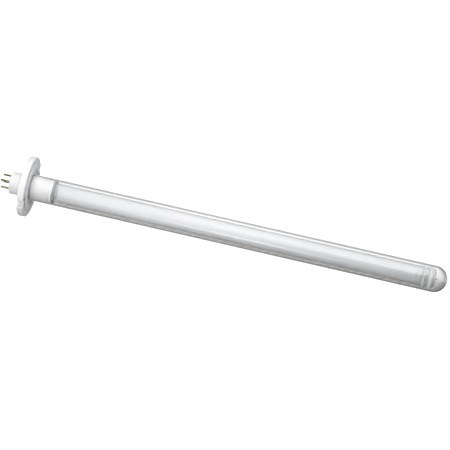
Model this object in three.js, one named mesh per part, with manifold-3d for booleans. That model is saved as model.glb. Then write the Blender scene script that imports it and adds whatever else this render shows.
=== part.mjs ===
// UV clarifier lamp unit: a single-ended germicidal lamp potted into a flanged four-pin base, inside a
// clear domed quartz sleeve. The sleeve slides over a plug on the flange and a rubber seal round the
// lamp, and pulls off forwards over the lamp's tip.
// Millimetres, +Z up, +X from the flange towards the dome. The origin is the centre of the flange's
// front face, the face that seats against the clarifier's housing.
import * as THREE from "three";
import { mergeVertices } from "three/addons/utils/BufferGeometryUtils.js";
import Module from "manifold-3d";

const wasm = await Module();
wasm.setup();

// Driving dimensions
const SLEEVE_R = 11.5; // outside of the quartz sleeve
const SLEEVE_WALL = 1.4;
const SLEEVE_TIP_X = 365; // outermost point of the dome
const LAMP_R = 8.25; // outside of the lamp's glass
const LAMP_WALL = 1;
const LAMP_NEAR_X = 2;
const LAMP_FAR_X = 354.5;
const FLANGE_R = 26.5;
const FLANGE_THICK = 6;
const BOSS_R = 9.7;
const BOSS_END_X = -18.6;
const PLUG_END_X = 19.6; // end of the white plug that the sleeve slides over
const PIN_R = 0.9;
const PIN_TIP_X = -27;
const PIN_PITCH = 7.6; // side of the square that the four pins stand on
const NOTCH_WIDTH = 6.5;
const NOTCH_DEPTH = 4.8;
const GASKET_GROOVE = [14.8, 20.6]; // inner and outer radius of the groove in the front face

// Clearance between pieces that touch on the real object
const GAP = 0.3;

// Worked out from the above
const HALF_PITCH = PIN_PITCH / 2;
const SLEEVE_BORE_R = SLEEVE_R - SLEEVE_WALL;
const LAMP_BORE_R = LAMP_R - LAMP_WALL;
const PLUG_R = SLEEVE_BORE_R - 0.4;
const PLUG_BORE_R = LAMP_R + GAP;
const DOME_X = SLEEVE_TIP_X - SLEEVE_R; // centre of the dome's sphere
const SEAT_FLOOR_X = -1.5; // the sleeve's open end stands in a shallow seat in the front face
const SEAT_R = SLEEVE_R + 0.4;
const SLEEVE_OPEN_X = SEAT_FLOOR_X + GAP;
const SEAL_X = [PLUG_END_X + GAP, PLUG_END_X + GAP + 1.8];
const CAVITY_R = 7.4; // inside of the boss
const INSERT_X = [BOSS_END_X + 0.5, BOSS_END_X + 4.5];
const WIRE_R = (LAMP_R + SLEEVE_BORE_R) / 2; // the return wires run halfway between lamp and sleeve
const WIRE_BEND_X = LAMP_FAR_X - 2.5; // where they turn in towards the lamp's far end
const WIRE_UNDER_SEAL_R = 8.8; // closer to the lamp where they pass under the seal
const SLOT_WIDTH = 4.6; // passage for both return wires in the plug and the tip rings
const SHOULDER_R = 2.5; // rounding of the lamp's two glass ends
const STEM_HOLE_R = 4.9; // opening in each glass end, closed by its stem
const LEAD_R = 0.3;
const LEAD_Y = 1.6; // where the leads pass each stem's press
const CATHODE_HALF = 3.4; // from the lamp's axis to each lead at the cathode
const STEM_LENGTH = 12.5; // from each glass end to the end of its stem's press
const NEAR_CATHODE_X = 20;
const FAR_CATHODE_X = 338.3;
const TIP_RINGS_X = [
  [343.6, 345.4],
  [348.7, 351.8],
];
const WIRE_ANGLES = [217, 233].map(THREE.MathUtils.degToRad); // from +Y towards +Z

// Materials
const standard = (color, roughness, metalness = 0) =>
  new THREE.MeshStandardMaterial({ color, roughness, metalness });
const clearGlass = (color) =>
  new THREE.MeshPhysicalMaterial({
    color,
    roughness: 0.03,
    metalness: 0,
    transmission: 0.95,
    ior: 1.46,
  });
const MATERIALS = {
  whitePlastic: standard(0xf2f2f2, 0.4),
  insulator: standard(0xe6e2d8, 0.55),
  brass: standard(0xc9a227, 0.25, 1),
  rubber: standard(0x55565a, 0.7),
  greySilicone: standard(0xb4b6b8, 0.6),
  clearSilicone: standard(0xdfe3e6, 0.35),
  quartz: clearGlass(0xf6f9fa),
  lampGlass: clearGlass(0xeef2f4),
  potting: standard(0xd8d8d2, 0.8),
  nickel: standard(0xb9b9b6, 0.35, 1),
  tungsten: standard(0x8c8a86, 0.5, 1),
  sleeving: standard(0xf4f3ee, 0.7),
  amalgam: standard(0xa8abb0, 0.3, 1),
};

// Shape tools

// A body turned about the X axis from a profile of [x, radius] pairs, its outside running towards +X.
function turned(profile, segments) {
  const points = profile.map(([x, r]) => new THREE.Vector2(r, x));
  return new THREE.LatheGeometry(points, segments).rotateZ(-Math.PI / 2);
}

// The same for a ring, whose profile closes on itself.
function turnedRing(profile, segments) {
  return turned([...profile, profile[0]], segments);
}

// A plain ring between two radii, from x0 to x1.
function washer(x0, x1, rIn, rOut, segments) {
  return turnedRing(
    [
      [x0, rIn],
      [x0, rOut],
      [x1, rOut],
      [x1, rIn],
    ],
    segments,
  );
}

// A solid cylinder along X.
function rod(x0, x1, r, segments) {
  return turned(
    [
      [x0, 0],
      [x0, r],
      [x1, r],
      [x1, 0],
    ],
    segments,
  );
}

// Points of an arc in a profile about [x, r], by angle from the +X direction towards growing radius.
function arc(x, r, radius, from, to, steps) {
  return Array.from({ length: steps + 1 }, (_, i) => {
    const a = THREE.MathUtils.degToRad(from + ((to - from) * i) / steps);
    return [x + radius * Math.cos(a), r + radius * Math.sin(a)];
  });
}

// A box by its lowest and highest corners.
function block(low, high) {
  const size = high.map((v, i) => v - low[i]);
  const middle = high.map((v, i) => (v + low[i]) / 2);
  return new THREE.BoxGeometry(...size).translate(...middle);
}

// A smooth wire path that spreads its steps over its points, so long straight runs stay cheap.
class WirePath extends THREE.CatmullRomCurve3 {
  getPointAt(u, target) {
    return this.getPoint(u, target);
  }
  getTangentAt(u, target) {
    return this.getTangent(u, target);
  }
}

// A coil about a line along Y through [x, 0, 0].
class CoilPath extends THREE.Curve {
  constructor(x, halfLength, radius, turns) {
    super();
    Object.assign(this, { x, halfLength, radius, turns });
  }
  getPoint(t, target = new THREE.Vector3()) {
    const a = t * this.turns * 2 * Math.PI;
    return target.set(
      this.x + this.radius * Math.cos(a),
      this.halfLength * (2 * t - 1),
      this.radius * Math.sin(a),
    );
  }
}

// A round wire of the given radius along a path.
function wire(path, radius, steps, sides) {
  const section = new THREE.Shape();
  for (let i = 0; i < sides; i++) {
    const a = (i / sides) * 2 * Math.PI;
    const corner = [radius * Math.cos(a), radius * Math.sin(a)];
    if (i === 0) section.moveTo(...corner);
    else section.lineTo(...corner);
  }
  section.closePath();
  return new THREE.ExtrudeGeometry(section, { extrudePath: path, steps });
}

// Booleans

function toSolid(geometry) {
  const bare = geometry.index ? geometry.toNonIndexed() : geometry.clone();
  bare.deleteAttribute("normal");
  bare.deleteAttribute("uv");
  const merged = mergeVertices(bare, 1e-4);
  return new wasm.Manifold(
    new wasm.Mesh({
      numProp: 3,
      vertProperties: merged.attributes.position.array,
      triVerts: new Uint32Array(merged.index.array),
    }),
  );
}

function toGeometry(solid) {
  const mesh = solid.getMesh();
  const geometry = new THREE.BufferGeometry();
  geometry.setAttribute("position", new THREE.BufferAttribute(new Float32Array(mesh.vertProperties), 3));
  geometry.setIndex(new THREE.BufferAttribute(new Uint32Array(mesh.triVerts), 1));
  geometry.computeVertexNormals();
  return geometry;
}

function cutAway(geometry, ...tools) {
  return toGeometry(tools.reduce((left, tool) => left.subtract(toSolid(tool)), toSolid(geometry)));
}

function joined(geometry, ...others) {
  return toGeometry(others.reduce((sum, other) => sum.add(toSolid(other)), toSolid(geometry)));
}

// The passage for the return wires: a box on their side of the axis, between two radii.
function wirePassage(x0, x1, rIn, rOut) {
  const middle = (WIRE_ANGLES[0] + WIRE_ANGLES[1]) / 2;
  return block([x0, rIn, -SLOT_WIDTH / 2], [x1, rOut, SLOT_WIDTH / 2]).rotateX(middle);
}

// Wire routes

const PIN_PLACES = [
  [-HALF_PITCH, HALF_PITCH],
  [HALF_PITCH, HALF_PITCH],
  [-HALF_PITCH, -HALF_PITCH],
  [HALF_PITCH, -HALF_PITCH],
];
const PIN_INNER_X = INSERT_X[1] + 0.8;
const WIRE_START_X = PIN_INNER_X + GAP;

// From a pin of the upper pair, through the near stem's press, to the near cathode; side is -1 or 1.
function nearLeadPath(side) {
  return new WirePath(
    [
      [WIRE_START_X, side * HALF_PITCH, HALF_PITCH],
      [WIRE_START_X + 2, side * HALF_PITCH, HALF_PITCH],
      [-4, side * 2.4, 1.6],
      [1, side * LEAD_Y, 0],
      [4, side * LEAD_Y, 0],
      [LAMP_NEAR_X + STEM_LENGTH - 0.5, side * LEAD_Y, 0],
      [LAMP_NEAR_X + STEM_LENGTH + 0.7, side * LEAD_Y, 0],
      [NEAR_CATHODE_X - 2, side * (CATHODE_HALF - 0.5), 0],
      [NEAR_CATHODE_X + 1, side * CATHODE_HALF, 0],
    ].map((p) => new THREE.Vector3(...p)),
  );
}

// From outside the lamp's far end, through the far stem's press, to the far cathode.
function farLeadPath(side) {
  return new WirePath(
    [
      [LAMP_FAR_X + 1.1, side * LEAD_Y, 0],
      [LAMP_FAR_X - 1, side * LEAD_Y, 0],
      [LAMP_FAR_X - STEM_LENGTH + 0.5, side * LEAD_Y, 0],
      [LAMP_FAR_X - STEM_LENGTH - 0.7, side * LEAD_Y, 0],
      [FAR_CATHODE_X + 2, side * (CATHODE_HALF - 0.5), 0],
      [FAR_CATHODE_X - 1, side * CATHODE_HALF, 0],
    ].map((p) => new THREE.Vector3(...p)),
  );
}

// From a pin of the lower pair, out through the plug, along the lamp and in again at its far end.
function returnWirePath(index) {
  const [pinY, pinZ] = PIN_PLACES[2 + index];
  const side = index === 0 ? -1 : 1;
  const at = (x, r) =>
    new THREE.Vector3(x, r * Math.cos(WIRE_ANGLES[index]), r * Math.sin(WIRE_ANGLES[index]));
  return new WirePath([
    new THREE.Vector3(WIRE_START_X, pinY, pinZ),
    new THREE.Vector3(WIRE_START_X + 1.5, pinY, pinZ),
    at(-7, 6.2),
    at(-2, 6.3),
    at(0.5, 7.5),
    at(3, WIRE_UNDER_SEAL_R - 0.1),
    at(5, WIRE_UNDER_SEAL_R),
    at(SEAL_X[1] + 1, WIRE_UNDER_SEAL_R),
    at(SEAL_X[1] + 4, WIRE_R),
    at(SEAL_X[1] + 6, WIRE_R),
    at(WIRE_BEND_X - 1.5, WIRE_R),
    at(WIRE_BEND_X, WIRE_R),
    at(LAMP_FAR_X - 0.8, 8.4),
    at(LAMP_FAR_X + 0.6, 7),
    at(LAMP_FAR_X + 1.9, 4),
    new THREE.Vector3(LAMP_FAR_X + 1.9, side * LEAD_Y, -1),
  ]);
}

// Pieces of the base

// White moulding: rear boss, round flange with two notches, and the plug that the sleeve slides over.
function baseFlange() {
  const back = -FLANGE_THICK;
  const body = turnedRing(
    [
      [BOSS_END_X, CAVITY_R],
      [BOSS_END_X, BOSS_R - 1.5],
      ...arc(BOSS_END_X + 1.5, BOSS_R - 1.5, 1.5, 157.5, 90, 3),
      ...arc(back - 0.8, BOSS_R + 0.8, 0.8, -90, 0, 2),
      ...arc(back + 1, FLANGE_R - 1, 1, 180, 90, 3),
      [-0.4, FLANGE_R],
      [0, FLANGE_R - 0.4],
      [0, GASKET_GROOVE[1]],
      [-1.2, GASKET_GROOVE[1]],
      [-1.2, GASKET_GROOVE[0]],
      [0, GASKET_GROOVE[0]],
      [0, SEAT_R],
      [SEAT_FLOOR_X, SEAT_R],
      [SEAT_FLOOR_X, PLUG_R],
      [PLUG_END_X - 2.4, PLUG_R],
      [PLUG_END_X - 2.2, PLUG_R - 0.2],
      [PLUG_END_X - 2, PLUG_R],
      [PLUG_END_X - 0.3, PLUG_R],
      [PLUG_END_X, PLUG_R - 0.3],
      [PLUG_END_X, PLUG_BORE_R],
      [LAMP_NEAR_X - 1, PLUG_BORE_R],
      [LAMP_NEAR_X - 1, CAVITY_R],
    ],
    44,
  );
  const notch = (side) => {
    const [y0, y1] = [FLANGE_R - NOTCH_DEPTH, FLANGE_R + 1].map((y) => side * y);
    return block(
      [back - 1, Math.min(y0, y1), -NOTCH_WIDTH / 2],
      [1, Math.max(y0, y1), NOTCH_WIDTH / 2],
    );
  };
  const wireSlot = wirePassage(-2.5, PLUG_END_X + 1, 6, PLUG_R - 0.5);
  return cutAway(body, notch(-1), notch(1), wireSlot);
}

// Disc that closes the boss and carries the pins.
function contactInsert() {
  const [x0, x1] = INSERT_X;
  const disc = turned(
    [
      [x0, 0],
      [x0, CAVITY_R - GAP - 0.3],
      [x0 + 0.3, CAVITY_R - GAP],
      [x1, CAVITY_R - GAP],
      [x1, 0],
    ],
    32,
  );
  const holes = PIN_PLACES.map(([y, z]) => rod(x0 - 1, x1 + 1, PIN_R + GAP, 14).translate(0, y, z));
  return cutAway(disc, ...holes);
}

// Round-nosed pin with a collar that stops it against the insert.
function contactPin([y, z]) {
  const collar = [INSERT_X[0] - GAP - 0.6, INSERT_X[0] - GAP];
  return turned(
    [
      ...arc(PIN_TIP_X + PIN_R, 0, PIN_R, 180, 90, 4),
      [collar[0], PIN_R],
      [collar[0], PIN_R + 0.6],
      [collar[1], PIN_R + 0.6],
      [collar[1], PIN_R],
      [PIN_INNER_X, PIN_R],
      [PIN_INNER_X, 0],
    ],
    14,
  ).translate(0, y, z);
}

// Compound that fills the boss behind the insert, moulded round the four wires.
function basePotting() {
  const plug = rod(WIRE_START_X + 0.4, LAMP_NEAR_X - 1.3, CAVITY_R - GAP, 32);
  const passages = [-1, 1].map((side) => wire(nearLeadPath(side), LEAD_R + GAP, 16, 6));
  passages.push(...[0, 1].map((i) => wire(returnWirePath(i), 0.25 + GAP, 42, 6)));
  return cutAway(plug, ...passages);
}

// Flat ring in the flange's groove, standing a little proud of the front face.
function flangeGasket() {
  return washer(-0.9, 0.9, GASKET_GROOVE[0] + GAP, GASKET_GROOVE[1] - GAP, 44);
}

// The sleeve

// Quartz tube closed by a round dome, open at the flange.
function quartzSleeve() {
  const edge = 0.3; // fire-polished rounding of the open end
  return turned(
    [
      ...arc(DOME_X, 0, SLEEVE_BORE_R, 0, 90, 8),
      [SLEEVE_OPEN_X + edge, SLEEVE_BORE_R],
      [SLEEVE_OPEN_X, SLEEVE_BORE_R + edge],
      [SLEEVE_OPEN_X, SLEEVE_R - edge],
      [SLEEVE_OPEN_X + edge, SLEEVE_R],
      ...arc(DOME_X, 0, SLEEVE_R, 90, 0, 9),
    ],
    36,
  );
}

// The lamp

// Straight glass tube with rounded ends, each with an opening for its stem.
function lampTube() {
  const innerRound = SHOULDER_R - LAMP_WALL;
  const nearX = LAMP_NEAR_X + SHOULDER_R;
  const farX = LAMP_FAR_X - SHOULDER_R;
  const roundR = LAMP_R - SHOULDER_R;
  return turnedRing(
    [
      [LAMP_NEAR_X, STEM_HOLE_R],
      ...arc(nearX, roundR, SHOULDER_R, 180, 90, 4),
      ...arc(farX, roundR, SHOULDER_R, 90, 0, 4),
      [LAMP_FAR_X, STEM_HOLE_R],
      [LAMP_FAR_X - LAMP_WALL, STEM_HOLE_R],
      ...arc(farX, roundR, innerRound, 0, 90, 3),
      ...arc(nearX, roundR, innerRound, 90, 180, 3),
      [LAMP_NEAR_X + LAMP_WALL, STEM_HOLE_R],
    ],
    32,
  );
}

// Hollow glass flare that closes a lamp end, drawn in to a flat press round the two leads. Made with
// its open end at x = 0 and its press towards +X.
function stem(exhaustFrom) {
  const rim = STEM_HOLE_R - GAP;
  const flare = turned(
    [
      [6.6, 0],
      [6.6, 2.3],
      [3, 2.6],
      [0.8, rim - 0.9],
      [0, rim - 0.7],
      [0, rim],
      [1, rim],
      [3, 3.5],
      [7, 3.2],
      [8.3, 2.2],
      [8.3, 0],
    ],
    24,
  );
  const press = block([7.6, -3.4, -1.1], [STEM_LENGTH, 3.4, 1.1]);
  if (exhaustFrom === undefined) return joined(flare, press);
  const exhaustTube = turned(
    [
      [exhaustFrom, 0],
      [exhaustFrom + 0.2, 0.5],
      [exhaustFrom + 1, 0.85],
      [7, 0.85],
      [7, 0],
    ],
    12,
  );
  return joined(flare, press, exhaustTube);
}

function nearStem() {
  const leads = [-1, 1].map((side) => wire(nearLeadPath(side), LEAD_R + GAP / 2, 24, 8));
  return cutAway(stem().translate(LAMP_NEAR_X, 0, 0), ...leads);
}

function farStem() {
  const leads = [-1, 1].map((side) => wire(farLeadPath(side), LEAD_R + GAP / 2, 20, 8));
  return cutAway(stem(-1.6).rotateZ(Math.PI).translate(LAMP_FAR_X, 0, 0), ...leads);
}

// Coiled tungsten cathode between the two leads.
function cathode(x) {
  return wire(new CoilPath(x, 2.6, 0.75, 6), 0.2, 54, 6);
}

// Rubber ring round the lamp at the plug's end. Its rim seals on the sleeve's bore; two grooves inside
// it let the return wires through.
function sleeveSeal() {
  const [x0, x1] = SEAL_X;
  const [rIn, rRim] = [LAMP_R + 0.2, SLEEVE_BORE_R - GAP];
  const ring = turnedRing(
    [
      [x0, rIn],
      [x0, rRim - 0.5],
      [x0 + 0.6, rRim],
      [x1 - 0.6, rRim],
      [x1, rRim - 0.5],
      [x1, rIn],
    ],
    36,
  );
  const groove = (angle) =>
    block([x0 - 1, rIn - 1, -0.55], [x1 + 1, WIRE_UNDER_SEAL_R + 0.55, 0.55]).rotateX(angle);
  return cutAway(ring, ...WIRE_ANGLES.map(groove));
}

// Clear silicone ring that keeps the lamp's tip in the middle of the sleeve, open where the return wires
// pass.
function tipRing([x0, x1]) {
  const [rIn, rOut] = [LAMP_R + 0.2, SLEEVE_BORE_R - GAP];
  const ring = turnedRing(
    [
      [x0, rIn],
      [x0, rOut - 0.3],
      [x0 + 0.3, rOut],
      [x1 - 0.3, rOut],
      [x1, rOut - 0.3],
      [x1, rIn],
    ],
    32,
  );
  return cutAway(ring, wirePassage(x0 - 1, x1 + 1, rIn - 1, rOut + 1));
}

// Insulating tube on the straight run of a return wire.
function wireSleeving(index) {
  const a = WIRE_ANGLES[index];
  const [y, z] = [WIRE_R * Math.cos(a), WIRE_R * Math.sin(a)];
  return washer(SEAL_X[1] + 5, WIRE_BEND_X - 0.5, 0.4, 0.65, 12).translate(0, y, z);
}

// Bead of mercury amalgam on the tube's wall, near the base.
function amalgamPellet() {
  return new THREE.SphereGeometry(0.9, 10, 7).translate(9, 0, -(LAMP_BORE_R - 0.9 - 0.2));
}

// Assembly

function named(name, geometry, material) {
  const mesh = new THREE.Mesh(geometry, material);
  mesh.name = name;
  return mesh;
}

const M = MATERIALS;
const base = new THREE.Group();
base.add(
  named("base_flange", baseFlange(), M.whitePlastic),
  named("contact_insert", contactInsert(), M.insulator),
  ...PIN_PLACES.map((place, i) => named(`contact_pin_${i + 1}`, contactPin(place), M.brass)),
  named("base_potting", basePotting(), M.potting),
  named("flange_gasket", flangeGasket(), M.greySilicone),
  named("sleeve_seal", sleeveSeal(), M.rubber),
);

const lamp = new THREE.Group();
lamp.add(
  named("lamp_tube", lampTube(), M.lampGlass),
  named("near_stem", nearStem(), M.lampGlass),
  named("far_stem", farStem(), M.lampGlass),
  named("near_cathode", cathode(NEAR_CATHODE_X), M.tungsten),
  named("far_cathode", cathode(FAR_CATHODE_X), M.tungsten),
  ...[-1, 1].map((side, i) =>
    named(`near_lead_${i + 1}`, wire(nearLeadPath(side), LEAD_R, 24, 8), M.nickel),
  ),
  ...[-1, 1].map((side, i) =>
    named(`far_lead_${i + 1}`, wire(farLeadPath(side), LEAD_R, 20, 8), M.nickel),
  ),
  ...[0, 1].map((i) => named(`return_wire_${i + 1}`, wire(returnWirePath(i), 0.25, 42, 8), M.nickel)),
  ...[0, 1].map((i) => named(`wire_sleeving_${i + 1}`, wireSleeving(i), M.sleeving)),
  ...TIP_RINGS_X.map((place, i) => named(`tip_ring_${i + 1}`, tipRing(place), M.clearSilicone)),
  named("amalgam_pellet", amalgamPellet(), M.amalgam),
);

const sleeve = new THREE.Group();
sleeve.add(named("quartz_sleeve", quartzSleeve(), M.quartz));

const unit = new THREE.Group();
unit.add(base, lamp, sleeve);

export default unit;
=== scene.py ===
"""Looks of the UV clarifier lamp unit: a finished mesh and material for every piece of the frame.

Lengths are millimetres, turned into metres where a mesh is made, except in the studio. +X runs from the
flange towards the sleeve's dome and +Z is up, as in the frame.
"""

import math

import bmesh
import bpy
import numpy as np
from mathutils import Matrix, Quaternion, Vector


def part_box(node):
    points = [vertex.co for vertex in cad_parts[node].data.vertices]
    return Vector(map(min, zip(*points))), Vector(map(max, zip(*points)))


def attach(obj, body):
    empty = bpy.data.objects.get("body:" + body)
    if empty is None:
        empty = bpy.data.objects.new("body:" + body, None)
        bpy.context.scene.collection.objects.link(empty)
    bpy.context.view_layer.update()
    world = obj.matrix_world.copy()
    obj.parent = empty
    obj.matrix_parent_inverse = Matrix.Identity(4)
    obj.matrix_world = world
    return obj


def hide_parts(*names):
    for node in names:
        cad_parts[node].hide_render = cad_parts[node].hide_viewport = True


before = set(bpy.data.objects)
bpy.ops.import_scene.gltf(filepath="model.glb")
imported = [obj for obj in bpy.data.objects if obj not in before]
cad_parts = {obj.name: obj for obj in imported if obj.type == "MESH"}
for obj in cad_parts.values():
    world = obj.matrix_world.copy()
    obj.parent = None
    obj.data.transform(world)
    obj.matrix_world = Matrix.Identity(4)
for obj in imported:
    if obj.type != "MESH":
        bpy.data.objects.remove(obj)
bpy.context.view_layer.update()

MM = 0.001
BASE = "base_and_lamp"
SLEEVE = "sleeve"


# --- Sizes: places come from the frame, and the rest are the walls and roundings of each piece ---


def span(node):
    """Start, end and outer radius of a turned node, in mm."""
    low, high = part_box(node)
    return low.x / MM, high.x / MM, high.z / MM


BOSS_END_X, PLUG_END_X, FLANGE_R = span("base_flange")
SLEEVE_OPEN_X, SLEEVE_TIP_X, SLEEVE_R = span("quartz_sleeve")
LAMP_NEAR_X, LAMP_FAR_X, LAMP_R = span("lamp_tube")
SEAL_X0, SEAL_X1, SEAL_R = span("sleeve_seal")
INSERT_X0, INSERT_X1, INSERT_R = span("contact_insert")
GASKET_X0, GASKET_X1, _ = span("flange_gasket")
SLEEVING_X0, SLEEVING_X1, _ = span("wire_sleeving_1")
PIN_TIP_X, PIN_INNER_X, _ = span("contact_pin_1")

SLEEVE_WALL = 1.4
SLEEVE_BORE_R = SLEEVE_R - SLEEVE_WALL
DOME_X = SLEEVE_TIP_X - SLEEVE_R
LAMP_WALL = 1.0
LAMP_BORE_R = LAMP_R - LAMP_WALL
FLANGE_BACK_X = -6.0
BOSS_R = 9.7
CAVITY_R = 7.4
SEAT_FLOOR_X = -1.5
SEAT_R = SLEEVE_R + 0.12
PLUG_R = SLEEVE_BORE_R - 0.3
PLUG_BORE_R = LAMP_R + 0.05
GROOVE_R = (14.8, 20.6)
GROOVE_DEPTH = 1.2
NOTCH_WIDTH = 6.5
NOTCH_DEPTH = 4.8
PARTING_RIDGE = 0.1
PIN_R = 0.9
HALF_PITCH = 3.8
STEM_HOLE_R = 4.9
LEAD_R = 0.3
LEAD_Y = 1.6
CATHODE_HALF = 3.4
CATHODE_TURNS = 9
CATHODE_WIRE_R = 0.19
NEAR_CATHODE_X = 20.0
FAR_CATHODE_X = 338.3
STEM_LENGTH = 12.5
RETURN_WIRE_R = 0.25
WIRE_UNDER_SEAL_R = 8.8
WIRE_R = (LAMP_R + SLEEVE_BORE_R) / 2
WIRE_BEND_X = LAMP_FAR_X - 2.5
SLOT_WIDTH = 4.6
WIRE_ANGLES = [math.radians(a) for a in (217, 233)]
PIN_PLACES = [(y, z) for z in (HALF_PITCH, -HALF_PITCH) for y in (-HALF_PITCH, HALF_PITCH)]
ON_AXIS = 1e-9
MERGE_DISTANCE = 1e-7  # metres


# --- Mesh tools ---


def even_angles(count):
    """Angles of a full turn in equal steps, without its end."""
    return np.arange(count) * 2 * math.pi / count


def arc(x, r, radius, start, end, steps):
    """Points of an arc in a profile about (x, r), by angle from +X towards growing radius."""
    angles = np.radians(np.linspace(start, end, steps + 1))
    return [(x + radius * math.cos(a), r + radius * math.sin(a)) for a in angles]


def rounded(corners, closed=True):
    """Outline through (x, r, rounding) corners, each rounded off between two points that hold it crisp.

    Those two lie a little further from the corner than its rounding does.
    """
    points = []
    count = len(corners)
    steps = 5
    hold = 1.2
    for i, (x, r, radius) in enumerate(corners):
        here = Vector((x, r))
        ends = not closed and i in (0, count - 1)
        if ends or radius == 0:
            points.append(here)
            continue
        before = (Vector(corners[i - 1][:2]) - here).normalized()
        after = (Vector(corners[(i + 1) % count][:2]) - here).normalized()
        half = before.angle(after) / 2
        reach = radius / math.tan(half)
        centre = here + (before + after).normalized() * (radius / math.sin(half))
        first, last = here + before * reach - centre, here + after * reach - centre
        turn = first.angle_signed(last)
        points.append(here + before * reach * hold)
        for k in range(steps + 1):
            step = first.copy()
            step.rotate(Matrix.Rotation(-turn * k / steps, 2))
            points.append(centre + step)
        points.append(here + after * reach * hold)
    return [tuple(p) for p in points]


def new_object(name, vertices, faces):
    """Object in the scene with a mesh from points in mm."""
    mesh = bpy.data.meshes.new(name)
    mesh.from_pydata([tuple(c * MM for c in v) for v in vertices], [], faces)
    made = bpy.data.objects.new(name, mesh)
    bpy.context.scene.collection.objects.link(made)
    return made


def finish_mesh(node, vertices, faces, material, slot, body):
    """Closed smooth-shaded piece from points in mm, which rides on its body and replaces its node."""
    piece = new_object(f"{node}_look", vertices, faces)
    mesh = piece.data
    work = bmesh.new()
    work.from_mesh(mesh)
    bmesh.ops.remove_doubles(work, verts=work.verts, dist=MERGE_DISTANCE)
    bmesh.ops.recalc_face_normals(work, faces=work.faces)
    work.to_mesh(mesh)
    work.free()
    mesh.polygons.foreach_set("use_smooth", [True] * len(mesh.polygons))
    mesh.materials.append(material)
    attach(piece, body)
    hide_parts(node)
    return piece


def loft(rings, loop=False):
    """Vertices and faces of a skin over rings of equal length; a loop joins the last to the first."""
    count = len(rings[0])
    vertices = [tuple(p) for ring in rings for p in ring]
    faces = []
    stretches = len(rings) if loop else len(rings) - 1
    for i in range(stretches):
        here, there = i * count, ((i + 1) % len(rings)) * count
        for k in range(count):
            n = (k + 1) % count
            faces.append((here + k, here + n, there + n, there + k))
    return vertices, faces


def capped(rings):
    """Skin over rings with a flat cap at each end."""
    vertices, faces = loft(rings)
    count = len(rings[0])
    faces.append(tuple(range(count)))
    faces.append(tuple(range(len(vertices) - count, len(vertices))))
    return vertices, faces


def circle(x, r, angles):
    """Points of a circle round the X axis at the given angles."""
    return [(x, r * math.cos(a), r * math.sin(a)) for a in angles]


def turned(profile, steps, y=0.0, z=0.0):
    """Solid of revolution about a line along X; a profile end on the axis becomes one point."""
    vertices, faces = [], []
    starts = []
    angles = even_angles(steps)
    for x, r in profile:
        starts.append(len(vertices))
        if r < ON_AXIS:
            vertices.append((x, y, z))
        else:
            vertices += [(px, py + y, pz + z) for px, py, pz in circle(x, r, angles)]
    pairs = list(zip(range(len(profile)), range(1, len(profile))))
    if profile[0][1] >= ON_AXIS:
        pairs.append((len(profile) - 1, 0))
    for a, b in pairs:
        for k in range(steps):
            n = (k + 1) % steps
            if profile[a][1] < ON_AXIS:
                faces.append((starts[a], starts[b] + k, starts[b] + n))
            elif profile[b][1] < ON_AXIS:
                faces.append((starts[a] + k, starts[a] + n, starts[b]))
            else:
                faces.append((starts[a] + k, starts[a] + n, starts[b] + n, starts[b] + k))
    return vertices, faces


def sweep(path, radius, sides=14):
    """Round wire with domed ends along a path of points."""
    path = [Vector(p) for p in path]
    last = len(path) - 1
    tangents = [(path[min(i + 1, last)] - path[max(i - 1, 0)]).normalized() for i in range(last + 1)]
    side = tangents[0].orthogonal().normalized()
    sections = []
    for point, tangent in zip(path, tangents):
        side = (side - tangent * side.dot(tangent)).normalized()
        sections.append((point, tangent, side, tangent.cross(side), radius))
    for end, sign in ((0, -1), (-1, 1)):
        point, tangent, u, v, _ = sections[end]
        domes = [(point + tangent * sign * radius * math.sin(a), tangent, u, v, radius * math.cos(a))
                 for a in np.radians((30, 55, 75))]
        sections = domes[::-1] + sections if end == 0 else sections + domes
    angles = even_angles(sides)
    rings = [[p + (u * math.cos(a) + v * math.sin(a)) * r for a in angles] for p, _, u, v, r in sections]
    return capped(rings)


def smooth_path(points):
    """Centripetal curve through points, with the same number of steps between each two."""
    steps = 10
    points = [Vector(p) for p in points]
    padded = [points[0] * 2 - points[1], *points, points[-1] * 2 - points[-2]]
    result = []
    for i in range(1, len(padded) - 2):
        p0, p1, p2, p3 = padded[i - 1:i + 3]
        d1, d2, d3 = (max((b - a).length, 1e-6) ** 0.5 for a, b in ((p0, p1), (p1, p2), (p2, p3)))
        m1 = (p2 - p1) + ((p1 - p0) / d1 - (p2 - p0) / (d1 + d2)) * d2
        m2 = (p2 - p1) + ((p3 - p2) / d3 - (p3 - p1) / (d2 + d3)) * d2
        for k in range(steps):
            t = k / steps
            result.append(p1 * (2 * t**3 - 3 * t**2 + 1) + m1 * (t**3 - 2 * t**2 + t)
                          + p2 * (3 * t**2 - 2 * t**3) + m2 * (t**3 - t**2))
    return result + [points[-1]]


# --- Materials ---

NOISE_RANGE = (0.3, 0.7)  # where nearly all of a noise's values lie


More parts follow.
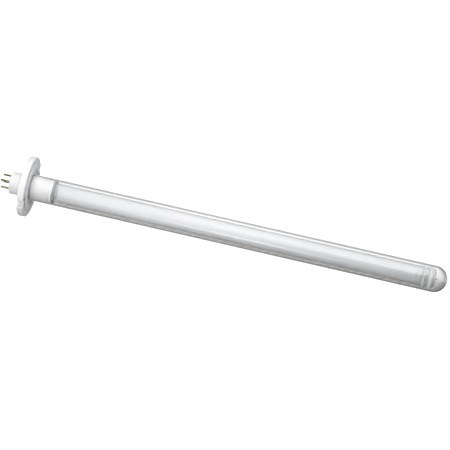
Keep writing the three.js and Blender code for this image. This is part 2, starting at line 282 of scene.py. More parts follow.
class Maker:
    """A Principled material with short ways to add noise, colour, roughness and bump."""

    def __init__(self, name, **sockets):
        self.material = bpy.data.materials.new(name)
        self.material.use_nodes = True
        self.tree = self.material.node_tree
        self.shader = self.tree.nodes["Principled BSDF"]
        self.place = self.tree.nodes.new("ShaderNodeTexCoord").outputs["Object"]
        for socket, value in sockets.items():
            self.shader.inputs[socket.replace("_", " ")].default_value = value

    def link(self, source, target):
        self.tree.links.new(source, target)

    def noise(self, scale, detail, stretch=(1, 1, 1)):
        """Noise over the piece; scale is features per metre, stretch its scale along each axis."""
        mapping = self.tree.nodes.new("ShaderNodeMapping")
        mapping.inputs["Scale"].default_value = stretch
        self.link(self.place, mapping.inputs["Vector"])
        texture = self.tree.nodes.new("ShaderNodeTexNoise")
        texture.inputs["Scale"].default_value = scale
        texture.inputs["Detail"].default_value = detail
        self.link(mapping.outputs["Vector"], texture.inputs["Vector"])
        return texture.outputs["Fac"]

    def wave(self, scale, direction, distortion):
        """Bands across a direction, a little uneven."""
        texture = self.tree.nodes.new("ShaderNodeTexWave")
        texture.wave_type = "BANDS"
        texture.bands_direction = direction
        texture.inputs["Scale"].default_value = scale
        texture.inputs["Distortion"].default_value = distortion
        texture.inputs["Detail Scale"].default_value = 2.0
        self.link(self.place, texture.inputs["Vector"])
        return texture.outputs["Fac"]

    def spread(self, source, low, high, to_low=0.0, to_high=1.0):
        """Source rescaled so that low to high becomes to_low to to_high."""
        node = self.tree.nodes.new("ShaderNodeMapRange")
        sockets = ("From Min", "From Max", "To Min", "To Max")
        for socket, value in zip(sockets, (low, high, to_low, to_high)):
            node.inputs[socket].default_value = value
        self.link(source, node.inputs["Value"])
        return node.outputs["Result"]

    def colour(self, factor, *stops):
        """Base colour from (position, colour) stops along a factor."""
        ramp = self.tree.nodes.new("ShaderNodeValToRGB")
        elements = ramp.color_ramp.elements
        for i, (position, rgb) in enumerate(stops):
            element = elements[i] if i < 2 else elements.new(position)
            element.position = position
            element.color = (*rgb, 1)
        self.link(factor, ramp.inputs["Fac"])
        self.link(ramp.outputs["Color"], self.shader.inputs["Base Color"])
        return self

    def painted_light_along_x(self, start, end, rgb):
        """Base colour turned into another from start to end along X, in mm."""
        parts = self.tree.nodes.new("ShaderNodeSeparateXYZ")
        self.link(self.place, parts.inputs["Vector"])
        mix = self.tree.nodes.new("ShaderNodeMix")
        mix.data_type = "RGBA"
        self.link(self.spread(parts.outputs["X"], start * MM, end * MM), mix.inputs["Factor"])
        base = self.shader.inputs["Base Color"]
        self.link(base.links[0].from_socket, mix.inputs["A"])
        mix.inputs["B"].default_value = (*rgb, 1)
        self.link(mix.outputs["Result"], base)
        return self

    def roughness(self, factor, low, high):
        """Roughness from low to high along the middle of a noise's range."""
        self.link(self.spread(factor, *NOISE_RANGE, low, high), self.shader.inputs["Roughness"])
        return self

    def bump(self, height, depth):
        """Adds relief of a given depth in mm on top of the bump that is already there."""
        node = self.tree.nodes.new("ShaderNodeBump")
        node.inputs["Distance"].default_value = depth * MM
        self.link(height, node.inputs["Height"])
        earlier = self.shader.inputs["Normal"].links
        if earlier:
            self.link(earlier[0].from_socket, node.inputs["Normal"])
        self.link(node.outputs["Normal"], self.shader.inputs["Normal"])
        return self


def white_plastic():
    made = Maker("white_plastic", IOR=1.49, Coat_Weight=0.15, Coat_Roughness=0.2)
    made.colour(made.noise(90, 4), (0.35, (0.61, 0.612, 0.616)), (0.65, (0.645, 0.645, 0.648)))
    # Painted light: one white plastic is coloured light grey on the flange and boss and near-white on
    # the plug ahead of the flange's face, a painted difference in how brightly they are lit.
    made.painted_light_along_x(0.8, 1.8, (0.96, 0.96, 0.965))
    made.roughness(made.noise(420, 3), 0.3, 0.42)
    return made.bump(made.noise(2600, 2), 0.01).bump(made.noise(70, 2), 0.05).material


def insulator():
    made = Maker("insulator", IOR=1.55)
    made.colour(made.noise(1400, 5), (0.3, (0.62, 0.6, 0.54)), (0.7, (0.76, 0.74, 0.69)))
    made.roughness(made.noise(800, 3), 0.5, 0.68)
    return made.bump(made.noise(3800, 3), 0.02).material


def brass():
    made = Maker("brass", Metallic=1.0)
    stain = made.noise(520, 6, (0.4, 1, 1))
    made.colour(
        stain,
        (0.32, (0.06, 0.052, 0.03)),
        (0.5, (0.14, 0.12, 0.068)),
        (0.72, (0.28, 0.24, 0.135)),
    )
    made.roughness(made.noise(900, 4), 0.2, 0.42)
    return made.bump(made.wave(1500, "X", 0.6), 0.006).material


def rubber():
    made = Maker("black_rubber", IOR=1.5)
    made.colour(made.noise(700, 4), (0.35, (0.25, 0.252, 0.258)), (0.7, (0.32, 0.322, 0.328)))
    made.roughness(made.noise(500, 3), 0.42, 0.6)
    return made.bump(made.noise(3000, 3), 0.02).material


def grey_silicone():
    made = Maker("grey_silicone", IOR=1.43)
    made.colour(made.noise(260, 5), (0.35, (0.6, 0.61, 0.62)), (0.7, (0.68, 0.69, 0.7)))
    made.roughness(made.noise(600, 3), 0.5, 0.66)
    return made.bump(made.noise(2400, 3), 0.02).material


def quartz():
    clear = (0.975, 0.976, 0.979, 1)
    made = Maker("quartz", Base_Color=clear, Transmission_Weight=1.0, IOR=1.458, Roughness=0.0)
    draw_lines = made.noise(420, 3, (0.002, 1, 1))
    return made.bump(draw_lines, 0.002).material


def lamp_glass():
    made = Maker("lamp_glass", Base_Color=(0.928, 0.931, 0.942, 1), IOR=1.49, Roughness=0.015)
    draw_lines = made.noise(300, 2, (0.002, 1, 1))
    clearness = made.spread(draw_lines, *NOISE_RANGE, 0.79, 0.74)
    made.link(clearness, made.shader.inputs["Transmission Weight"])
    return made.bump(draw_lines, 0.002).material


def clear_silicone():
    made = Maker("clear_silicone", IOR=1.41, Transmission_Weight=0.3)
    made.colour(made.noise(300, 4), (0.3, (0.84, 0.86, 0.86)), (0.7, (0.92, 0.93, 0.93)))
    made.roughness(made.noise(700, 3), 0.3, 0.45)
    return made.bump(made.noise(1800, 3), 0.02).material


def potting():
    made = Maker("potting", IOR=1.5)
    made.colour(made.noise(900, 6), (0.3, (0.5, 0.5, 0.46)), (0.7, (0.68, 0.68, 0.64)))
    made.roughness(made.noise(500, 4), 0.6, 0.85)
    return made.bump(made.noise(1500, 5), 0.08).material


def nickel():
    made = Maker("nickel", Metallic=1.0)
    made.colour(made.noise(700, 4, (0.2, 1, 1)), (0.3, (0.6, 0.59, 0.57)), (0.7, (0.76, 0.75, 0.73)))
    made.roughness(made.noise(900, 3), 0.28, 0.42)
    return made.bump(made.noise(2200, 3, (0.1, 1, 1)), 0.01).material


def coated_tungsten():
    made = Maker("coated_tungsten")
    made.colour(made.noise(2600, 5), (0.4, (0.4, 0.39, 0.37)), (0.6, (0.78, 0.77, 0.74)))
    made.roughness(made.noise(2000, 3), 0.5, 0.85)
    return made.bump(made.noise(5000, 4), 0.05).material


def glass_braid():
    made = Maker("glass_braid", IOR=1.5)
    weave = made.wave(900, "DIAGONAL", 0.4)
    made.colour(weave, (0.2, (0.62, 0.61, 0.57)), (0.8, (0.82, 0.81, 0.78)))
    made.roughness(made.noise(1500, 3), 0.55, 0.75)
    return made.bump(weave, 0.06).material


def amalgam():
    made = Maker("amalgam", Metallic=1.0)
    made.colour(made.noise(1200, 5), (0.35, (0.3, 0.31, 0.32)), (0.65, (0.58, 0.59, 0.61)))
    made.roughness(made.noise(1500, 3), 0.25, 0.5)
    return made.bump(made.noise(1600, 4), 0.06).material


WHITE_PLASTIC = white_plastic()
INSULATOR = insulator()
BRASS = brass()
RUBBER = rubber()
GREY_SILICONE = grey_silicone()
QUARTZ = quartz()
LAMP_GLASS = lamp_glass()
CLEAR_SILICONE = clear_silicone()
POTTING = potting()
NICKEL = nickel()
TUNGSTEN = coated_tungsten()
GLASS_BRAID = glass_braid()
AMALGAM = amalgam()


# --- The base ---


def flange_outline():
    """Rim of the flange as (y, z) points with two softened notches, and an even angle for each point."""
    half_open = 16.0  # degrees on each side of a notch's middle, as far as its corners are softened
    softening = 0.7
    run_steps, fine_steps, notch_steps, rim_steps = 12, 900, 90, 92
    mouth = math.asin(NOTCH_WIDTH / 2 / FLANGE_R)
    rim_r = FLANGE_R - PARTING_RIDGE
    run_in = np.radians(np.linspace(-half_open, -math.degrees(mouth), run_steps))
    floor = FLANGE_R - NOTCH_DEPTH
    corners = [(rim_r * math.cos(a), rim_r * math.sin(a)) for a in run_in]
    corners += [(floor, -NOTCH_WIDTH / 2), (floor, NOTCH_WIDTH / 2)]
    corners += [(y, -z) for y, z in corners[run_steps - 1::-1]]
    corners = np.array(corners)
    reach = np.concatenate([[0], np.cumsum(np.linalg.norm(np.diff(corners, axis=0), axis=1))])
    fine = np.linspace(0, reach[-1], fine_steps)
    dense = np.stack([np.interp(fine, reach, corners[:, k]) for k in (0, 1)], axis=1)
    softness = softening / (fine[1] - fine[0])
    taps = np.arange(-int(3 * softness), int(3 * softness) + 1)
    weights = np.exp(-((taps / softness) ** 2) / 2)
    weights /= weights.sum()
    padded = np.pad(dense, ((len(taps) // 2,) * 2, (0, 0)), mode="reflect", reflect_type="odd")
    soft = np.stack([np.convolve(padded[:, k], weights, "valid") for k in (0, 1)], axis=1)
    notch = soft[np.linspace(0, len(soft) - 1, notch_steps).astype(int)]
    notch_angles = np.radians(np.linspace(-half_open, half_open, len(notch)))
    rest = np.radians(np.linspace(half_open, 180 - half_open, rim_steps)[1:-1])
    arc_points = np.stack([rim_r * np.cos(rest), rim_r * np.sin(rest)], axis=1)
    half = np.concatenate([notch, arc_points])
    points = np.concatenate([half, -half])
    angles = np.concatenate([notch_angles, rest, notch_angles + math.pi, rest + math.pi])
    return points, angles


def rim_ring(outline, x, inset):
    """The flange's outline at x, moved inwards by inset."""
    ahead, behind = np.roll(outline, -1, axis=0), np.roll(outline, 1, axis=0)
    tangent = ahead - behind
    tangent /= np.linalg.norm(tangent, axis=1)[:, None]
    inwards = np.stack([-tangent[:, 1], tangent[:, 0]], axis=1)
    moved = outline + inwards * inset
    return [(x, y, z) for y, z in moved]


def base_flange():
    """White moulding: boss, notched flange with a parting line, gasket groove, sleeve seat and plug."""
    outline, angles = flange_outline()
    plug_step = PLUG_END_X - 2.4
    plug_seat_r = PLUG_R - 0.1
    neck_r = PLUG_R - 0.35
    behind_rim = rounded([
        (PLUG_END_X, PLUG_BORE_R, 0.2),
        (LAMP_NEAR_X - 1, PLUG_BORE_R, 0.1),
        (LAMP_NEAR_X - 1, CAVITY_R, 0.1),
        (BOSS_END_X, CAVITY_R, 0.3),
        (BOSS_END_X, BOSS_R, 1.4),
        (FLANGE_BACK_X, BOSS_R, 0.8),
        (FLANGE_BACK_X, FLANGE_R - 6, 0),
    ], closed=False)
    ahead_of_rim = rounded([
        (0, GROOVE_R[1] + 0.6, 0),
        (0, GROOVE_R[1], 0.15),
        (-GROOVE_DEPTH, GROOVE_R[1], 0.1),
        (-GROOVE_DEPTH, GROOVE_R[0], 0.1),
        (0, GROOVE_R[0], 0.15),
        (0, SEAT_R, 0.2),
        (SEAT_FLOOR_X, SEAT_R, 0.1),
        (SEAT_FLOOR_X, plug_seat_r, 0.1),
        (plug_step, plug_seat_r, 0),
        (plug_step + 0.1, neck_r, 0.05),
        (plug_step + 0.5, neck_r, 0.05),
        (plug_step + 0.6, PLUG_R, 0),
        (PLUG_END_X, PLUG_R, 0.25),
        (PLUG_END_X, PLUG_BORE_R + 0.2, 0),
    ], closed=False)
    back_round, front_round, middle = 1.0, 1.2, FLANGE_BACK_X / 2
    hold = 1.3
    rim = [rim_ring(outline, FLANGE_BACK_X, back_round * hold)]
    rim += [rim_ring(outline, FLANGE_BACK_X + back_round * (1 - math.cos(a)),
                     back_round * (1 - math.sin(a)))
            for a in np.radians(np.linspace(0, 90, 8))]
    rim += [rim_ring(outline, middle + dx, -lift * PARTING_RIDGE)
            for dx, lift in ((-0.25, 0), (-0.12, 0.5), (0, 1), (0.12, 0.5), (0.25, 0))]
    rim += [rim_ring(outline, -front_round * (1 - math.cos(a)), front_round * (1 - math.sin(a)))
            for a in np.radians(np.linspace(90, 0, 6))]
    rim.append(rim_ring(outline, 0, front_round * hold))
    rings = [circle(x, r, angles) for x, r in behind_rim]
    rings += rim
    rings += [circle(x, r, angles) for x, r in ahead_of_rim]
    return finish_mesh("base_flange", *loft(rings, loop=True), WHITE_PLASTIC, "white_plastic", BASE)


def contact_insert():
    """Off-white disc with a raised rim and a hole for each pin."""
    profile = rounded([
        (INSERT_X0 + 0.4, 0, 0),
        (INSERT_X0 + 0.4, INSERT_R - 1.1, 0.15),
        (INSERT_X0, INSERT_R - 0.9, 0.1),
        (INSERT_X0, INSERT_R, 0.3),
        (INSERT_X1, INSERT_R, 0.2),
        (INSERT_X1, 0, 0),
    ], closed=False)
    piece = finish_mesh("contact_insert", *turned(profile, 96), INSULATOR, "insulator", BASE)
    hole_r = PIN_R + 0.1
    start, end = INSERT_X0 - 1, INSERT_X1 + 1
    for y, z in PIN_PLACES:
        hole = turned([(start, 0), (start, hole_r), (end, hole_r), (end, 0)], 40, y, z)
        drill = new_object("drill", *hole)
        cut = piece.modifiers.new("cut", "BOOLEAN")
        cut.operation = "DIFFERENCE"
        cut.object = drill
        apply_modifiers(piece)
        bpy.data.objects.remove(drill)
    return piece


def apply_modifiers(piece):
    """Makes the piece's mesh what its modifiers show, and drops them."""
    shown = piece.evaluated_get(bpy.context.evaluated_depsgraph_get())
    mesh = bpy.data.meshes.new_from_object(shown)
    piece.modifiers.clear()
    piece.data = mesh
    mesh.name = piece.name


def contact_pin(index, y, z):
    """Turned brass pin with a round nose, a fine groove and the collar that stops it at the insert."""
    collar_x0, collar_x1, collar_r = INSERT_X0 - 0.9, INSERT_X0 - 0.3, PIN_R + 0.55
    groove_x, groove_r = PIN_TIP_X + 2.6, PIN_R - 0.12
    stem = rounded([
        (PIN_TIP_X + PIN_R, PIN_R, 0),
        (groove_x, PIN_R, 0.02),
        (groove_x + 0.15, groove_r, 0.02),
        (groove_x + 0.35, groove_r, 0.02),
        (groove_x + 0.5, PIN_R, 0.02),
        (collar_x0, PIN_R, 0.05),
        (collar_x0, collar_r, 0.12),
        (collar_x1, collar_r, 0.12),
        (collar_x1, PIN_R, 0.05),
        (PIN_INNER_X, PIN_R, 0.2),
        (PIN_INNER_X, 0, 0),
    ], closed=False)
    profile = arc(PIN_TIP_X + PIN_R, 0, PIN_R, 180, 90, 10)[:-1] + stem
    profile[0] = (profile[0][0], 0)
    return finish_mesh(f"contact_pin_{index}", *turned(profile, 48, y, z), BRASS, "brass", BASE)


def flange_gasket():
    """Flat moulded ring with a fine sealing bead along its middle."""
    inner, outer = GROOVE_R[0] + 0.05, GROOVE_R[1] - 0.05
    middle = (inner + outer) / 2
    front = GASKET_X1 - 0.25
    profile = rounded([
        (GASKET_X0, inner, 0.15),
        (front, inner, 0.25),
        (front, middle - 0.8, 0.15),
        (GASKET_X1, middle - 0.35, 0.15),
        (GASKET_X1, middle + 0.35, 0.15),
        (front, middle + 0.8, 0.15),
        (front, outer, 0.25),
        (GASKET_X0, outer, 0.15),
    ])
    return finish_mesh("flange_gasket", *turned(profile, 200), GREY_SILICONE, "grey_silicone", BASE)


def sleeve_seal():
    """Rubber ring with a rounded sealing rim, grooved inside for the return wires."""
    outer_r, inner_r, edge = SEAL_R + 0.2, LAMP_R + 0.05, 0.7
    side_r = outer_r - edge
    outside = [(SEAL_X0, side_r - 0.15)]
    outside += arc(SEAL_X0 + edge, side_r, edge, 180, 100, 10)
    outside += arc(SEAL_X1 - edge, side_r, edge, 80, 0, 10)
    outside += [(SEAL_X1, side_r - 0.15)]
    angles = even_angles(240)
    groove_r, groove_half = WIRE_UNDER_SEAL_R + 0.45, 0.05
    swell = sum(np.exp(-((angles - a) / groove_half) ** 4) for a in WIRE_ANGLES)
    inside_r = inner_r + swell * (groove_r - inner_r)
    rings = [circle(x, r, angles) for x, r in outside]
    rings += [[(x, r * math.cos(a), r * math.sin(a)) for a, r in zip(angles, inside_r)]
              for x in (SEAL_X1, SEAL_X0)]
    return finish_mesh("sleeve_seal", *loft(rings, loop=True), RUBBER, "black_rubber", BASE)


# --- The sleeve and the lamp's glass ---


def quartz_sleeve():
    """Quartz tube with a round dome and a fire-polished open end."""
    lip = SLEEVE_WALL / 2
    runs = np.linspace(SLEEVE_OPEN_X + lip, DOME_X, 26)[1:-1]
    profile = arc(DOME_X, 0, SLEEVE_BORE_R, 0, 90, 26)
    profile += [(x, SLEEVE_BORE_R) for x in runs[::-1]]
    profile += arc(SLEEVE_OPEN_X + lip, SLEEVE_R - lip, lip, 270, 90, 12)
    profile += [(x, SLEEVE_R) for x in runs]
    profile += arc(DOME_X, 0, SLEEVE_R, 90, 0, 28)
    profile[0], profile[-1] = (profile[0][0], 0), (profile[-1][0], 0)
    return finish_mesh("quartz_sleeve", *turned(profile, 192), QUARTZ, "quartz", SLEEVE)


def lamp_tube():
    """Glass tube drawn in to a rounded shoulder at each end."""
    shoulder = 2.5
    inner = shoulder - LAMP_WALL
    near_x, far_x, round_r = LAMP_NEAR_X + shoulder, LAMP_FAR_X - shoulder, LAMP_R - shoulder
    runs = np.linspace(near_x, far_x, 26)[1:-1]
    profile = [(LAMP_NEAR_X, STEM_HOLE_R)]
    profile += arc(near_x, round_r, shoulder, 180, 90, 12)
    profile += [(x, LAMP_R) for x in runs]
    profile += arc(far_x, round_r, shoulder, 90, 0, 12)
    profile += [(LAMP_FAR_X, STEM_HOLE_R), (LAMP_FAR_X - LAMP_WALL, STEM_HOLE_R)]
    profile += arc(far_x, round_r, inner, 0, 90, 10)
    profile += [(x, LAMP_BORE_R) for x in runs[::-1]]
    profile += arc(near_x, round_r, inner, 90, 180, 10)
    profile += [(LAMP_NEAR_X + LAMP_WALL, STEM_HOLE_R)]
    return finish_mesh("lamp_tube", *turned(profile, 160), LAMP_GLASS, "lamp_glass", BASE)


def stem(name, mouth_x, inwards, exhaust=False):
    """Glass flare drawn in to a flat press; mouth_x is its open end and inwards is 1 or -1 along X.

    A section is (depth from the mouth, half its size along Y, half its size along Z), round or flat.
    """
    rim = STEM_HOLE_R - 0.1
    flare = [(0, rim - 0.35), (0.15, rim), (0.9, rim), (1.9, 4.2), (3.0, 3.5), (5.0, 3.25)]
    press = [(6.6, 3.15, 3.0), (7.6, 3.25, 2.1), (8.7, 3.4, 1.35), (9.8, 3.5, 1.12)]
    press += [(STEM_LENGTH - 0.8, 3.5, 1.08), (STEM_LENGTH - 0.2, 3.4, 0.95), (STEM_LENGTH, 3.1, 0.6)]
    hollow = [(6.6, 0.5), (6.4, 1.6), (5.6, 2.2), (3.0, 2.65), (1.4, 3.4)]
    hollow += [(0.5, rim - 0.95), (0, rim - 0.6)]
    angles = even_angles(72)
    press_squareness = 0.55

    def section(depth, half_y, half_z):
        squareness = 1 if half_y == half_z else press_squareness
        return [(mouth_x + inwards * depth,
                 half_y * math.copysign(abs(math.cos(a)) ** squareness, math.cos(a)),
                 half_z * math.copysign(abs(math.sin(a)) ** squareness, math.sin(a))) for a in angles]

    rings = [section(x, r, r) for x, r in hollow + flare] + [section(*s) for s in press]
    rings.append(section(STEM_LENGTH, 2.4, 0.3))
    if exhaust:
        tube = [(5.9, 0.8), (4, 0.8), (0.5, 0.82), (-0.6, 0.75), (-1.2, 0.5), (-1.5, 0.2)]
        rings = [section(x, r, r) for x, r in tube[::-1]] + [section(6.4, 1.2, 1.2)] + rings[1:]
    return finish_mesh(name, *capped(rings), LAMP_GLASS, "lamp_glass", BASE)


def tip_ring(index):
    """Clear silicone ring round the lamp's tip, open on the side where the return wires pass."""
    x0, x1, box_r = span(f"tip_ring_{index}")
    outer_r, inner_r, edge = box_r + 0.2, LAMP_R + 0.03, 0.45
    crown = (x0 + x1) / 2
    profile = rounded([
        (x0, inner_r, 0.15),
        (x0, outer_r - 0.15, edge),
        (crown, outer_r, 0.6),
        (x1, outer_r - 0.15, edge),
        (x1, inner_r, 0.15),
    ])
    middle = sum(WIRE_ANGLES) / 2
    half_slot = math.asin(SLOT_WIDTH / 2 / LAMP_R)
    ends = np.linspace(middle + half_slot, middle - half_slot + 2 * math.pi, 150)
    rings = [[(x, r * math.cos(a), r * math.sin(a)) for x, r in profile] for a in ends]
    return finish_mesh(f"tip_ring_{index}", *capped(rings), CLEAR_SILICONE, "clear_silicone", BASE)


# --- The lamp's insides and its wires ---


def cathode(name, x):
    """Tungsten coil across the lead tips, flecked with its white emission coating."""
    half_length, radius = 2.9, 0.72
    path = []
    for t in np.linspace(0, 1, CATHODE_TURNS * 16):
        a = t * CATHODE_TURNS * 2 * math.pi
        path.append((x + radius * math.cos(a), half_length * (2 * t - 1), radius * math.sin(a)))
    return finish_mesh(name, *sweep(path, CATHODE_WIRE_R, 10), TUNGSTEN, "tungsten", BASE)


def near_lead(index, side):
    """Wire from an upper pin through the near stem's press to one end of the cathode."""
    start_x = PIN_INNER_X + 0.3
    path = smooth_path([
        (start_x, side * HALF_PITCH, HALF_PITCH),
        (start_x + 2, side * HALF_PITCH, HALF_PITCH),
        (-4, side * 2.4, 1.6),
        (1, side * LEAD_Y, 0),
        (4, side * LEAD_Y, 0),
        (LAMP_NEAR_X + STEM_LENGTH - 0.5, side * LEAD_Y, 0),
        (LAMP_NEAR_X + STEM_LENGTH + 0.7, side * LEAD_Y, 0),
        (NEAR_CATHODE_X - 2, side * (CATHODE_HALF - 0.5), 0),
        (NEAR_CATHODE_X + 1, side * CATHODE_HALF, 0),
    ])
    return finish_mesh(f"near_lead_{index}", *sweep(path, LEAD_R), NICKEL, "nickel", BASE)


def far_lead(index, side):
    """Wire from behind the far stem through its press to one end of the cathode."""
    path = smooth_path([
        (LAMP_FAR_X + 1.1, side * LEAD_Y, 0),
        (LAMP_FAR_X - 1, side * LEAD_Y, 0),
        (LAMP_FAR_X - STEM_LENGTH + 0.5, side * LEAD_Y, 0),
        (LAMP_FAR_X - STEM_LENGTH - 0.7, side * LEAD_Y, 0),
        (FAR_CATHODE_X + 2, side * (CATHODE_HALF - 0.5), 0),
        (FAR_CATHODE_X - 1, side * CATHODE_HALF, 0),
    ])
    return finish_mesh(f"far_lead_{index}", *sweep(path, LEAD_R), NICKEL, "nickel", BASE)


def return_wire(index):
    """Wire from a lower pin, under the seal and along the lamp, round to the far stem."""
    pin_y, pin_z = PIN_PLACES[2 + index]
    side = -1 if index == 0 else 1
    angle = WIRE_ANGLES[index]
    start_x = PIN_INNER_X + 0.3

    def at(x, r):
        return x, r * math.cos(angle), r * math.sin(angle)

    path = smooth_path([
        (start_x, pin_y, pin_z),
        (start_x + 1.5, pin_y, pin_z),
        at(-7, 6.2),
        at(-2, 6.3),
        at(0.5, 7.5),
        at(3, WIRE_UNDER_SEAL_R - 0.1),
        at(5, WIRE_UNDER_SEAL_R),
        at(SEAL_X1 + 1, WIRE_UNDER_SEAL_R),
        at(SEAL_X1 + 4, WIRE_R),
        at(SEAL_X1 + 6, WIRE_R),
        at(WIRE_BEND_X - 1.5, WIRE_R),
        at(WIRE_BEND_X, WIRE_R),
        at(LAMP_FAR_X - 0.8, 8.5),
        at(LAMP_FAR_X + 0.6, 7),
        at(LAMP_FAR_X + 1.9, 4),
        (LAMP_FAR_X + 1.9, side * LEAD_Y, -1),
    ])
    wire = sweep(path, RETURN_WIRE_R, 12)
    return finish_mesh(f"return_wire_{index + 1}", *wire, NICKEL, "nickel", BASE)


def wire_sleeving(index):
    """Woven glass tube on the straight run of a return wire."""
    angle = WIRE_ANGLES[index]
    inner_r, outer_r = 0.35, 0.62
    profile = rounded([
        (SLEEVING_X0, inner_r, 0.05),
        (SLEEVING_X0, outer_r, 0.1),
        (SLEEVING_X1, outer_r, 0.1),
        (SLEEVING_X1, inner_r, 0.05),
    ])
    made = turned(profile, 28, WIRE_R * math.cos(angle), WIRE_R * math.sin(angle))
    return finish_mesh(f"wire_sleeving_{index + 1}", *made, GLASS_BRAID, "glass_braid", BASE)


def amalgam_pellet():
    """Lumpy metallic bead lying on the lamp's wall."""
    low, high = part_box("amalgam_pellet")
    centre, radius = (low + high) / 2 / MM, (high.x - low.x) / 2 / MM
    share_of_box, flat_below = 0.95, -0.8
    work = bmesh.new()
    bmesh.ops.create_icosphere(work, subdivisions=4, radius=1.0)
    vertices = []
    for v in work.verts:
        lump = 1 + 0.05 * math.sin(5 * v.co.x + 2) * math.sin(4 * v.co.y) - 0.06 * max(0, v.co.x)
        direction = Vector((v.co.x, v.co.y, max(v.co.z, flat_below)))
        vertices.append(centre + direction * (radius * lump * share_of_box))
    faces = [tuple(v.index for v in f.verts) for f in work.faces]
    work.free()
    return finish_mesh("amalgam_pellet", vertices, faces, AMALGAM, "amalgam", BASE)


# --- Studio: places in metres, camera angles in degrees ---

FLOOR_Z = -0.8
FLOOR_HALF = 12.0
CAMERA_AZIMUTH = 7.32
CAMERA_ELEVATION = 40.0
CAMERA_ROLL = 8.1
CAMERA_DISTANCE = 1.4476
CAMERA_TARGET = (0.1711, 0.0, 0.00665)
FOCAL_LENGTH = 136.0
SENSOR_WIDTH = 36.0


def add_camera():
    """Long lens above and in front of the tube, rolled so that the tube falls away to the right."""
    azimuth, elevation = math.radians(CAMERA_AZIMUTH), math.radians(CAMERA_ELEVATION)
    level_back = Vector((math.sin(azimuth), -math.cos(azimuth), 0)) * math.cos(elevation)
    back = level_back + Vector((0, 0, math.sin(elevation)))
    data = bpy.data.cameras.new("camera")
    data.lens = FOCAL_LENGTH
    data.sensor_width = SENSOR_WIDTH
    data.clip_start, data.clip_end = 0.05, 50
    camera = bpy.data.objects.new("camera", data)
    bpy.context.scene.collection.objects.link(camera)
    camera.rotation_mode = "QUATERNION"
    camera.location = Vector(CAMERA_TARGET) + back * CAMERA_DISTANCE
    level = (-back).to_track_quat("-Z", "Y")
    camera.rotation_quaternion = Quaternion(back, math.radians(CAMERA_ROLL)) @ level
    bpy.context.scene.camera = camera


# Brightness of the studio round the tube, as (degrees from the back horizon over the top, brightness):
# a wide softbox above that reaches well to the front, dark below, and a pale wall low behind.
STUDIO_ROUND = [(0, 0.4), (20, 0.9), (38, 1.9), (55, 2.6), (75, 3.1), (90, 3.4), (110, 3.4), (135, 3.25),
                (150, 3.2), (160, 2.6), (185, 1.9), (210, 1.4), (240, 0.9), (270, 0.32), (288, 0.28),
                (300, 0.45), (308, 0.65), (316, 0.95), (324, 1.2), (333, 1.15), (342, 0.65), (350, 0.42)]
# Share of it that remains towards either end, as (X of the direction, share).
STUDIO_ALONG = [(-1.0, 0.2), (-0.5, 0.25), (-0.25, 0.8), (-0.1, 1.0), (0.05, 0.82), (0.2, 0.52),
                (0.6, 0.42)]
# The front and the underside are dimmer still towards the dome: how much each angle takes part, and the
# share lost along X.
FRONT_ROUND = [(120, 0.0), (144, 1.0), (240, 1.0), (262, 0.35), (298, 0.35), (308, 0.75), (317, 0.75),
               (321, 0.0)]
FRONT_LOSS = [(-0.16, 0.0), (-0.04, 0.42), (0.03, 0.66), (0.25, 0.5), (0.5, 0.0)]
# A narrow bright panel in front draws a line along the middle of the glass.
LINE_ROUND = [(166, 0.0), (171, 1.0), (177, 1.0), (182, 0.0)]
LINE_ALONG = [(-0.17, 0.0), (-0.12, 0.5), (-0.08, 1.0), (-0.04, 0.35), (0.0, 0.0)]
LINE_BRIGHTNESS = 3.5
# A panel in front, level with the tube and off the flange's end, fills in the shade on the moulding.
FILL_ROUND = [(142, 0.0), (155, 1.0), (188, 1.0), (196, 0.0)]
FILL_ALONG = [(-0.5, 1.0), (-0.28, 0.0)]
FILL_BRIGHTNESS = 2.2


def ramp(tree, factor, stops):
    """Colour ramp in greys from (position, brightness) stops, none above 1."""
    node = tree.nodes.new("ShaderNodeValToRGB")
    elements = node.color_ramp.elements
    for i, (position, brightness) in enumerate(stops):
        element = elements[i] if i < 2 else elements.new(position)
        element.position = position
        element.color = (brightness, brightness, brightness, 1)
    tree.links.new(factor, node.inputs["Fac"])
    return node.outputs["Color"]


def math_node(tree, operation, *inputs):
    """Result of a math node whose inputs are sockets or numbers."""
    node = tree.nodes.new("ShaderNodeMath")
    node.operation = operation
    for socket, value in zip(node.inputs, inputs):
        if isinstance(value, float):
            socket.default_value = value
        else:
            tree.links.new(value, socket)
    return node.outputs["Value"]


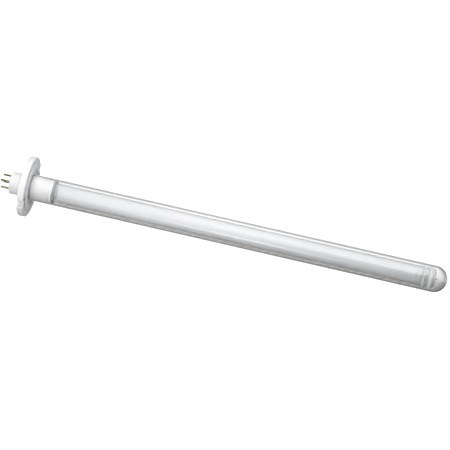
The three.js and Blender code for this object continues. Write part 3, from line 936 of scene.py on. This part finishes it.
def add_world():
    """Panels parallel to the tube light the object; the camera itself sees plain white."""
    world = bpy.data.worlds.new("studio")
    bpy.context.scene.world = world
    world.use_nodes = True
    tree = world.node_tree
    new, link = tree.nodes.new, tree.links.new
    parts = new("ShaderNodeSeparateXYZ")
    link(new("ShaderNodeTexCoord").outputs["Generated"], parts.inputs["Vector"])
    angle = math_node(tree, "ARCTAN2", parts.outputs["Z"], parts.outputs["Y"])
    turn = math_node(tree, "MULTIPLY", angle, 1 / (2 * math.pi))
    wrapped = math_node(tree, "WRAP", turn, 1.0, 0.0)
    place = math_node(tree, "MULTIPLY_ADD", parts.outputs["X"], 0.5, 0.5)

    def round_tube(stops, top=1.0):
        return ramp(tree, wrapped, [(degrees / 360, value / top) for degrees, value in stops])

    def along_tube(stops):
        return ramp(tree, place, [((x + 1) / 2, value) for x, value in stops])

    brightest = max(brightness for _, brightness in STUDIO_ROUND)
    studio = round_tube(STUDIO_ROUND, brightest)
    light = math_node(tree, "MULTIPLY", studio, along_tube(STUDIO_ALONG))
    light = math_node(tree, "MULTIPLY", light, brightest)
    loss = math_node(tree, "MULTIPLY", round_tube(FRONT_ROUND), along_tube(FRONT_LOSS))
    light = math_node(tree, "MULTIPLY", light, math_node(tree, "SUBTRACT", 1.0, loss))
    line = math_node(tree, "MULTIPLY", round_tube(LINE_ROUND), along_tube(LINE_ALONG))
    light = math_node(tree, "MULTIPLY_ADD", line, LINE_BRIGHTNESS, light)
    fill = math_node(tree, "MULTIPLY", round_tube(FILL_ROUND), along_tube(FILL_ALONG))
    light = math_node(tree, "MULTIPLY_ADD", fill, FILL_BRIGHTNESS, light)
    background = tree.nodes["Background"]
    background.inputs["Color"].default_value = (1, 1, 1, 1)
    link(light, background.inputs["Strength"])
    white = new("ShaderNodeBackground")
    white.inputs["Color"].default_value = (1, 1, 1, 1)
    choice = new("ShaderNodeMixShader")
    link(new("ShaderNodeLightPath").outputs["Is Camera Ray"], choice.inputs["Fac"])
    link(background.outputs[0], choice.inputs[1])
    link(white.outputs[0], choice.inputs[2])
    link(choice.outputs[0], tree.nodes["World Output"].inputs["Surface"])


def add_floor():
    """Plain white floor that only the camera sees, so that it doesn't brighten the object's shade."""
    half, z = FLOOR_HALF / MM, FLOOR_Z / MM
    corners = [(x * half, y * half, z) for x, y in ((-1, -1), (1, -1), (1, 1), (-1, 1))]
    floor = new_object("floor", corners, [(0, 1, 2, 3)])
    made = Maker("floor_white", Base_Color=(0.93, 0.93, 0.93, 1), Roughness=0.9)
    floor.data.materials.append(made.material)
    for rays in ("diffuse", "glossy", "transmission"):
        setattr(floor, f"visible_{rays}", False)


add_camera()
add_world()
add_floor()
base_flange()
contact_insert()
for number, place in enumerate(PIN_PLACES, 1):
    contact_pin(number, *place)
flange_gasket()
sleeve_seal()
quartz_sleeve()
lamp_tube()
stem("near_stem", LAMP_NEAR_X, 1)
stem("far_stem", LAMP_FAR_X, -1, exhaust=True)
tip_ring(1)
tip_ring(2)
cathode("near_cathode", NEAR_CATHODE_X)
cathode("far_cathode", FAR_CATHODE_X)
for number, side in ((1, -1), (2, 1)):
    near_lead(number, side)
    far_lead(number, side)
for index in (0, 1):
    return_wire(index)
    wire_sleeving(index)
amalgam_pellet()
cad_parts["base_potting"].data.materials.clear()
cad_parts["base_potting"].data.materials.append(POTTING)

GLASS_BOUNCES = 24  # light crosses four glass walls, and more at the ends
scene = bpy.context.scene
scene.view_settings.view_transform = "Standard"
scene.cycles.max_bounces = GLASS_BOUNCES
scene.cycles.transmission_bounces = GLASS_BOUNCES
scene.cycles.transparent_max_bounces = GLASS_BOUNCES
